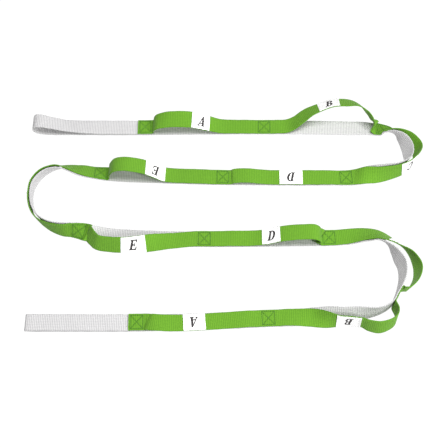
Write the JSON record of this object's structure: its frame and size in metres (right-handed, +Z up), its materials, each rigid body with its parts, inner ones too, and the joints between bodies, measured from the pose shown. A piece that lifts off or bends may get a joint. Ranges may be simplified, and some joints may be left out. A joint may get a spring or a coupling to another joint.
{
  "type": "stretching strap",
  "caption": "Long webbing stretching strap: a grey base webbing with a green webbing sewn on it at intervals to make lettered grip loops, and a plain loop at each end.",
  "frame": {"origin": "on the table, under the middle of the laid-out strap", "axes": "+X along the rows towards the two folds on the right, +Y from the last row to the first, +Z up"},
  "size_m": [0.5763, 0.3755, 0.0396],
  "materials": {
    "grey_webbing": "woven polyester webbing, matt",
    "green_webbing": "woven polyester webbing, matt",
    "label": "smooth woven tape, matt",
    "thread": "polyester thread, slight sheen"
  },
  "bodies": {
    "strap": {"base_row_1": "grey_webbing", "base_turn_1": "grey_webbing", "base_row_2": "grey_webbing", "base_turn_2": "grey_webbing", "base_row_3": "grey_webbing", "base_turn_3": "grey_webbing", "base_turn_4": "grey_webbing", "base_row_4": "grey_webbing", "folded_tail_first": "grey_webbing", "folded_tail_last": "grey_webbing", "green_tack_01": "green_webbing", "green_tack_02": "green_webbing", "green_tack_03": "green_webbing", "green_tack_04": "green_webbing", "green_tack_05": "green_webbing", "green_tack_06": "green_webbing", "green_tack_07": "green_webbing", "green_tack_08": "green_webbing", "green_tack_09": "green_webbing", "green_tack_10": "green_webbing", "green_tack_11": "green_webbing", "green_tack_12": "green_webbing", "stitch_box_01": "thread", "stitch_box_02": "thread", "stitch_box_03": "thread", "stitch_box_04": "thread", "stitch_box_05": "thread", "stitch_box_06": "thread", "stitch_box_07": "thread", "stitch_box_08": "thread", "stitch_box_09": "thread", "stitch_box_10": "thread", "stitch_box_11": "thread", "stitch_box_12": "thread"},
    "first_end": {"end_loop_first": "grey_webbing"},
    "last_end": {"end_loop_last": "grey_webbing"},
    "grip_01_a": {"loop_01_a": "green_webbing", "label_01_a": "label"},
    "grip_02_b": {"loop_02_b": "green_webbing", "label_02_b": "label"},
    "grip_03_c": {"loop_03_c": "green_webbing", "label_03_c": "label"},
    "grip_04_d": {"loop_04_d": "green_webbing", "label_04_d": "label"},
    "grip_05_e": {"loop_05_e": "green_webbing", "label_05_e": "label"},
    "grip_06_f": {"loop_06_f": "green_webbing", "label_06_f": "label"},
    "grip_07_e": {"loop_07_e": "green_webbing", "label_07_e": "label"},
    "grip_08_d": {"loop_08_d": "green_webbing", "label_08_d": "label"},
    "grip_09_c": {"loop_09_c": "green_webbing", "label_09_c": "label"},
    "grip_10_b": {"loop_10_b": "green_webbing", "label_10_b": "label"},
    "grip_11_a": {"loop_11_a": "green_webbing", "label_11_a": "label"}
  },
  "joints": [
    {"name": "grip_01_a_flop", "type": "hinge", "parent": "strap", "child": "grip_01_a", "pos_m": [-0.1212, 0.1515, 0.0042], "axis": [0.9999, 0.009, -0.0096], "range_deg": [-20, 20], "stiffness_Nm_per_rad": 0.02},
    {"name": "grip_02_b_flop", "type": "hinge", "parent": "strap", "child": "grip_02_b", "pos_m": [0.0568, 0.1531, 0.0025], "axis": [0.998, -0.0482, 0.0421], "range_deg": [-10, 35], "stiffness_Nm_per_rad": 0.02},
    {"name": "grip_03_c_open", "type": "slide", "parent": "strap", "child": "grip_03_c", "axis": [1, 0, 0], "range_m": [0, 0.01], "stiffness_N_per_m": 4},
    {"name": "grip_04_d_open", "type": "slide", "parent": "strap", "child": "grip_04_d", "axis": [0, 0, 1], "range_m": [0, 0.012], "stiffness_N_per_m": 4},
    {"name": "grip_05_e_open", "type": "slide", "parent": "strap", "child": "grip_05_e", "axis": [0, 0, 1], "range_m": [0, 0.012], "stiffness_N_per_m": 4},
    {"name": "grip_06_f_open", "type": "slide", "parent": "strap", "child": "grip_06_f", "axis": [-1, 0, 0], "range_m": [0, 0.015], "stiffness_N_per_m": 4},
    {"name": "grip_07_e_flop", "type": "hinge", "parent": "strap", "child": "grip_07_e", "pos_m": [-0.2082, -0.0327, 0.008], "axis": [0.9983, -0.0491, -0.031], "range_deg": [-40, 0], "stiffness_Nm_per_rad": 0.02},
    {"name": "grip_08_d_open", "type": "slide", "parent": "strap", "child": "grip_08_d", "axis": [0, 0, 1], "range_m": [0, 0.012], "stiffness_N_per_m": 4},
    {"name": "grip_09_c_open", "type": "slide", "parent": "strap", "child": "grip_09_c", "axis": [1, 0, 0], "range_m": [0, 0.01], "stiffness_N_per_m": 4},
    {"name": "grip_10_b_open", "type": "slide", "parent": "strap", "child": "grip_10_b", "axis": [0, -1, 0], "range_m": [0, 0.012], "stiffness_N_per_m": 4},
    {"name": "grip_11_a_open", "type": "slide", "parent": "strap", "child": "grip_11_a", "axis": [0, 0, 1], "range_m": [0, 0.012], "stiffness_N_per_m": 4},
    {"name": "first_end_lift", "type": "hinge", "parent": "strap", "child": "first_end", "pos_m": [-0.1322, 0.1515, 0.005], "axis": [0, 1, 0], "range_deg": [0, 85]},
    {"name": "last_end_lift", "type": "hinge", "parent": "strap", "child": "last_end", "pos_m": [-0.1322, -0.1726, 0.005], "axis": [0, 1, 0], "range_deg": [0, 85]}
  ]
}
